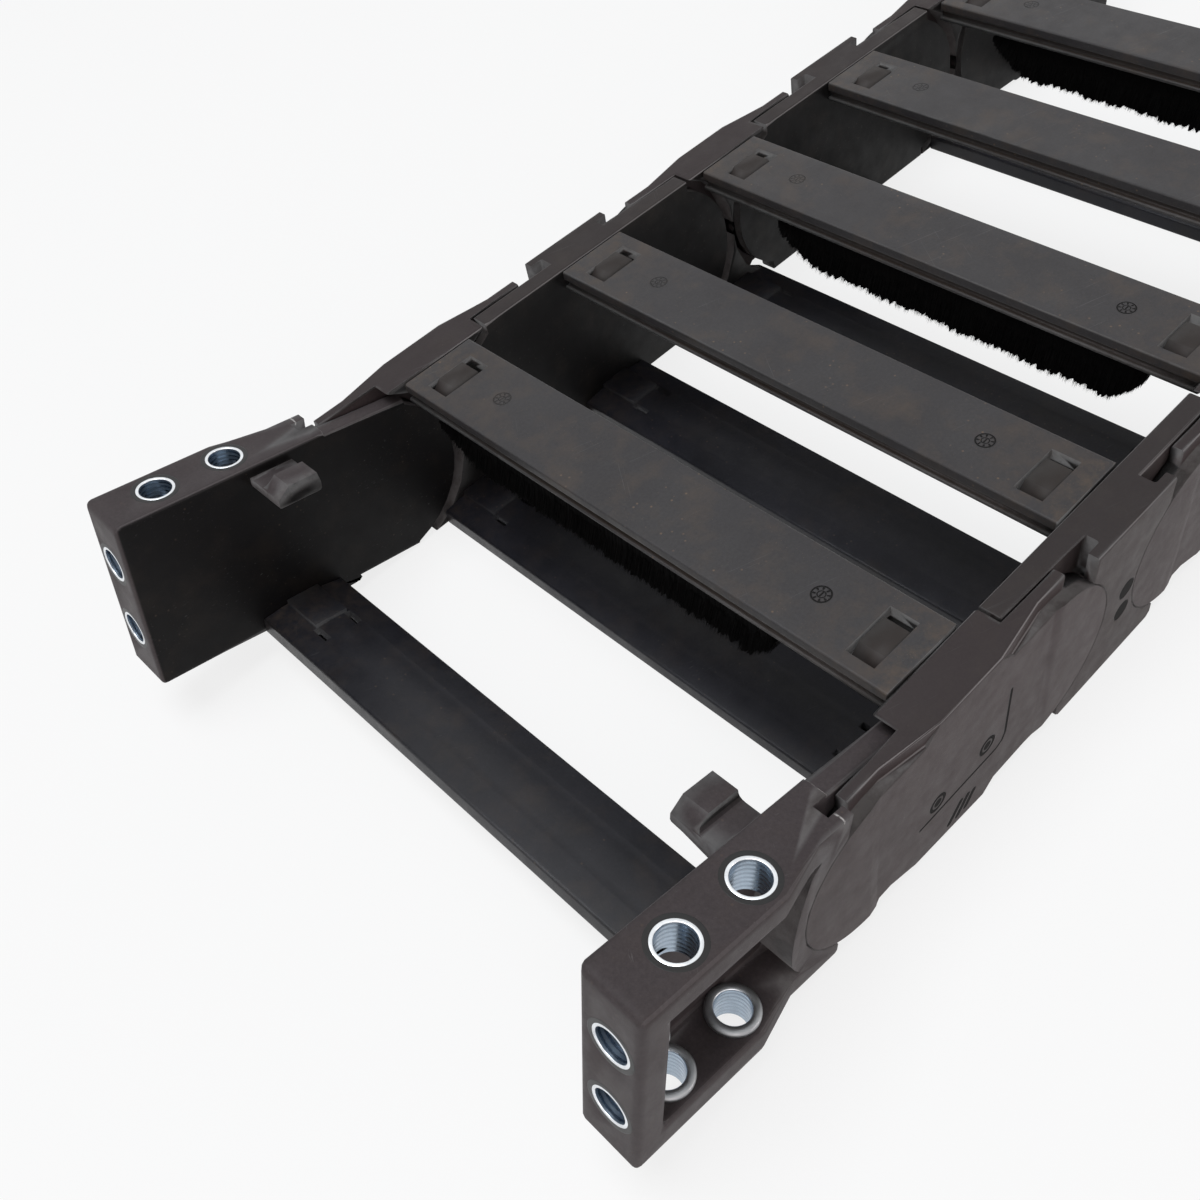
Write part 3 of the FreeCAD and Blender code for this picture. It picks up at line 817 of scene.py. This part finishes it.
def slot_floors(bar, body, hinge_x, lift):
    """Closes the four slots of a bottom bar just above its underside."""
    low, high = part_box(bar)
    points, faces = [], []
    middle = (low.x + high.x) / 2 if not lift else hinge_x - PITCH / 2 * MM
    level = SLOT_FLOOR * MM - HINGE_HEIGHT * MM
    if "link" not in bar:
        level += BRACKET_RISE * MM
    for side in (-1, 1):
        for edge in (-1, 1):
            x = middle + edge * SLOT_OFFSET * MM - hinge_x
            y = side * (SLOT_START + SLOT_LENGTH / 2) * MM
            first = len(points)
            for dz in (0, SLOT_FLOOR_THICKNESS):
                for dx, dy in ((-1, -1), (1, -1), (1, 1), (-1, 1)):
                    px = x + dx * (SLOT_WIDTH / 2 + SLOT_OVERLAP) * MM
                    pz = level + dz * MM
                    points.append(Vector((
                        hinge_x + px * math.cos(lift) + pz * math.sin(lift),
                        y + dy * (SLOT_LENGTH / 2 + SLOT_OVERLAP) * MM,
                        HINGE_HEIGHT * MM - px * math.sin(lift) + pz * math.cos(lift),
                    )))
            quads = ((3, 2, 1, 0), (4, 5, 6, 7), (0, 1, 5, 4), (1, 2, 6, 5), (2, 3, 7, 6), (3, 0, 4, 7))
            faces.extend(tuple(first + k for k in quad) for quad in quads)
    mesh_piece(f"{bar}_slot_floors", points, faces, PAINTED_SHADE_NYLON, body, smooth=False)


EDGE_TREES = {shortest: long_edges(shortest) for _, shortest in (PLATE_EDGES, BRACKET_EDGES, BAR_EDGES)}


# Finishes of the CAD pieces

def dress(name):
    """Material, edge radius and shortest rounded edge of a CAD piece, or None for one that is replaced."""
    if "bracket" in name:
        return BRACKETS[name.split("_")[0]], *BRACKET_EDGES
    if "plate" in name:
        return INNER_PLATE if "_2_" in name or "_4_" in name else OUTER_PLATE, *PLATE_EDGES
    if "top_bar" in name:
        return TOP_BAR, *BAR_EDGES
    if "bottom_bar" in name:
        return LINK_BOTTOM_BAR if "link" in name else BOTTOM_BAR, *BAR_EDGES
    return None, 0, 0


for name, piece in nodes.items():
    material, edge, shortest = dress(name)
    if material:
        piece.data.materials.clear()
        piece.data.materials.append(material)
        soften(piece, edge, shortest)

for end in ("near", "far"):
    bushings(end)
for index, strip in enumerate(sorted(name for name in nodes if "fibre_strip" in name)):
    brush(strip, strip.replace("_fibre_strip", ""), 11 + index)
near_hinge = (link_centre(1) - PITCH / 2) * MM
for name in sorted(name for name in nodes if "bottom_bar" in name):
    owner = name.replace("_bottom_bar", "")
    body = owner if "link" in owner else f"{owner}_end"
    slot_floors(name, body, near_hinge, NEAR_LIFT if owner == "near" else 0.0)


# Floor, light and camera

def seen(tree):
    """1 for the camera's rays, and for those that reach it off or through the object."""
    path = add(tree, "ShaderNodeLightPath").outputs
    return largest(tree, [path[f"Is {kind} Ray"] for kind in ("Camera", "Glossy", "Transmission")])


def floor():
    """White ground that the camera sees nearly white, with the object's soft shadow."""
    mesh = bpy.data.meshes.new("ground")
    corners = [(x * FLOOR_SIZE, y * FLOOR_SIZE, 0) for x, y in ((-1, -1), (1, -1), (1, 1), (-1, 1))]
    mesh.from_pydata(corners, [], [(0, 1, 2, 3)])
    material, tree = new_material("ground_white")
    paint = add(tree, "ShaderNodeBsdfDiffuse", Color=(0.8, 0.8, 0.8, 1))
    glow = add(tree, "ShaderNodeEmission", Color=(1, 1, 1, 1), Strength=1.0)
    share = product(tree, seen(tree), FLOOR_GLOW)
    both = add(tree, "ShaderNodeMixShader", i0=share, i1=paint.outputs[0], i2=glow.outputs[0])
    add(tree, "ShaderNodeOutputMaterial", Surface=both.outputs[0])
    mesh.materials.append(material)
    ground = bpy.data.objects.new("ground", mesh)
    bpy.context.scene.collection.objects.link(ground)


def lamp(name, place, aim, size, power, colour):
    data = bpy.data.lights.new(name, "AREA")
    data.shape = "DISK"
    data.size = size
    data.energy = power
    data.color = colour
    light = bpy.data.objects.new(name, data)
    light.location = place
    light.rotation_mode = "QUATERNION"
    light.rotation_quaternion = (Vector(aim) - Vector(place)).to_track_quat("-Z", "Y")
    bpy.context.scene.collection.objects.link(light)


def sky():
    """Even surroundings: white where they are seen, and dimmer as light."""
    world = bpy.data.worlds.new("surroundings")
    world.use_nodes = True
    tree = world.node_tree
    tree.nodes.clear()
    level = add(tree, "ShaderNodeMapRange", Value=seen(tree), To_Min=SKY_LIGHT, To_Max=1.0).outputs[0]
    light = add(tree, "ShaderNodeBackground", Color=(1, 1, 1, 1), Strength=level)
    add(tree, "ShaderNodeOutputWorld", Surface=light.outputs[0])
    bpy.context.scene.world = world


def camera():
    """The photograph's view."""
    data = bpy.data.cameras.new("camera")
    data.lens = CAMERA_LENS
    data.sensor_width = CAMERA_SENSOR
    data.clip_start, data.clip_end = CAMERA_CLIP
    view = bpy.data.objects.new("camera", data)
    forward = CAMERA_FORWARD.normalized()
    up = CAMERA_RIGHT.cross(forward).normalized()
    right = forward.cross(up).normalized()
    turn = Matrix((right, up, -forward)).transposed()
    view.matrix_world = Matrix.Translation(CAMERA_PLACE) @ turn.to_4x4()
    bpy.context.scene.collection.objects.link(view)
    bpy.context.scene.camera = view


floor()
sky()
for name, settings in LAMPS.items():
    lamp(name, *settings)
camera()
bpy.context.scene.view_settings.view_transform = "Standard"
